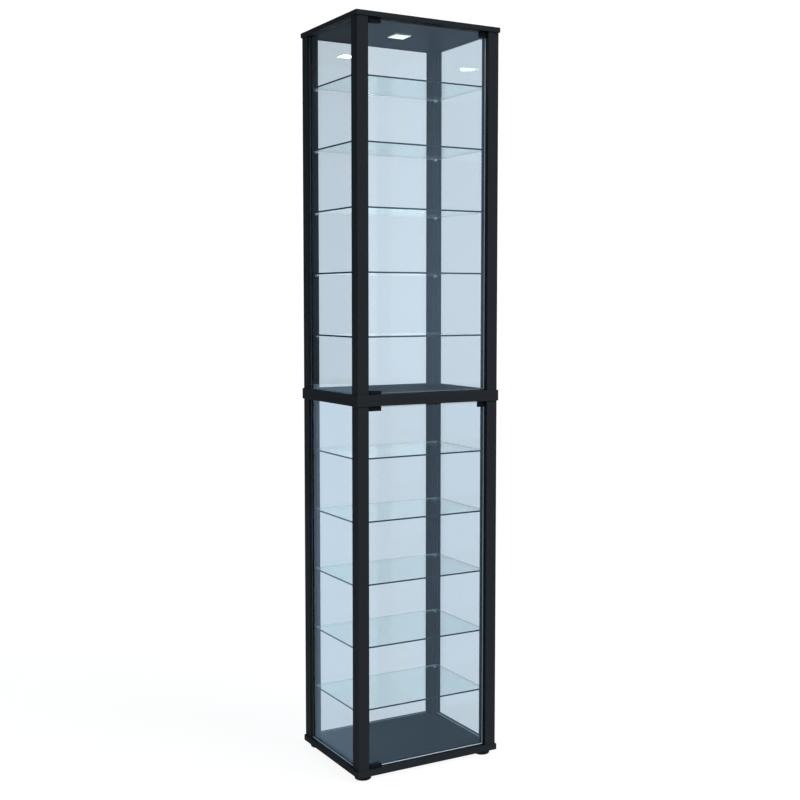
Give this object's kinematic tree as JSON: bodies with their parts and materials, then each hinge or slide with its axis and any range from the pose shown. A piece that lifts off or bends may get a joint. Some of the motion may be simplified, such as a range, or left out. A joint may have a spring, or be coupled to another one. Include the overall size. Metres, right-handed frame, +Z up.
{
  "type": "display case",
  "caption": "Tall black-framed glass display case in two stacked cases, each with glass shelves and a glass door on corner pivots, with a square lamp in the ceiling.",
  "frame": {"origin": "on the floor, under the middle of the footprint", "axes": "+Z up, -Y towards somebody who stands in front of the doors, +X to their right"},
  "size_m": [0.4, 0.304, 1.83],
  "materials": {
    "black_board": "satin black melamine on board",
    "black_post": "satin black melamine on board",
    "pane_glass": "clear float glass with ground edges",
    "door_glass": "clear float glass with polished edges",
    "shelf_glass": "clear float glass with polished edges",
    "bright_pin": "bright nickel plate",
    "black_metal": "satin black powder coat",
    "black_plastic": "matt black moulding",
    "magnet_tip": "dark grey moulding",
    "spring_steel": "bright wire",
    "screw_steel": "zinc plate",
    "pivot_steel": "turned",
    "clamp_pad": "matt",
    "bush_plastic": "matt moulding",
    "dowel_wood": "fluted beech",
    "foot_plastic": "matt black moulding",
    "lamp_glow": "opal diffuser, lit",
    "lamp_plate": "plain",
    "led_board": "white solder resist"
  },
  "bodies": {
    "case": {"lower_base_board": "black_board", "lower_top_board": "black_board", "lower_post_front_left": "black_post", "lower_post_front_right": "black_post", "lower_post_rear_left": "black_post", "lower_post_rear_right": "black_post", "lower_left_pane": "pane_glass", "lower_right_pane": "pane_glass", "lower_back_pane": "pane_glass", "lower_shelf_1": "shelf_glass", "lower_shelf_2": "shelf_glass", "lower_shelf_3": "shelf_glass", "lower_shelf_4": "shelf_glass", "lower_shelf_5": "shelf_glass", "lower_shelf_pins": "bright_pin", "lower_catch_body": "black_plastic", "lower_catch_spring": "spring_steel", "upper_base_board": "black_board", "upper_top_board": "black_board", "upper_post_front_left": "black_post", "upper_post_front_right": "black_post", "upper_post_rear_left": "black_post", "upper_post_rear_right": "black_post", "upper_left_pane": "pane_glass", "upper_right_pane": "pane_glass", "upper_back_pane": "pane_glass", "upper_shelf_1": "shelf_glass", "upper_shelf_2": "shelf_glass", "upper_shelf_3": "shelf_glass", "upper_shelf_4": "shelf_glass", "upper_shelf_5": "shelf_glass", "upper_shelf_pins": "bright_pin", "upper_catch_body": "black_plastic", "upper_catch_spring": "spring_steel", "frame_screws": "screw_steel", "pivot_bushes": "bush_plastic", "catch_screws": "screw_steel", "case_dowels": "dowel_wood", "feet": "foot_plastic", "foot_screws": "screw_steel", "lamp_diffuser": "lamp_glow", "lamp_base_plate": "lamp_plate", "lamp_led_board": "led_board", "cable_grommet": "black_plastic"},
    "lower_door": {"lower_door_glass": "door_glass", "lower_door_strike": "black_metal", "lower_door_top_clamp": "black_metal", "lower_door_bottom_clamp": "black_metal", "lower_door_clamp_pads": "clamp_pad", "lower_door_clamp_screws": "screw_steel", "lower_door_pivot_pins": "pivot_steel"},
    "lower_catch_plunger": {"lower_catch_plunger": "magnet_tip"},
    "upper_door": {"upper_door_glass": "door_glass", "upper_door_strike": "black_metal", "upper_door_top_clamp": "black_metal", "upper_door_bottom_clamp": "black_metal", "upper_door_clamp_pads": "clamp_pad", "upper_door_clamp_screws": "screw_steel", "upper_door_pivot_pins": "pivot_steel"},
    "upper_catch_plunger": {"upper_catch_plunger": "magnet_tip"}
  },
  "joints": [
    {"name": "lower_door_swing", "type": "hinge", "parent": "case", "child": "lower_door", "pos_m": [-0.157, -0.138, 0.468], "axis": [0, 0, -1], "range_deg": [0, 100]},
    {"name": "lower_catch_push", "type": "slide", "parent": "case", "child": "lower_catch_plunger", "axis": [0, 1, 0], "range_m": [0, 0.0025], "stiffness_N_per_m": 600, "springref_m": -0.002, "deforming": ["lower_catch_spring"]},
    {"name": "upper_door_swing", "type": "hinge", "parent": "case", "child": "upper_door", "pos_m": [-0.157, -0.138, 1.377], "axis": [0, 0, -1], "range_deg": [0, 100]},
    {"name": "upper_catch_push", "type": "slide", "parent": "case", "child": "upper_catch_plunger", "axis": [0, 1, 0], "range_m": [0, 0.0025], "stiffness_N_per_m": 600, "springref_m": -0.002, "deforming": ["upper_catch_spring"]}
  ]
}
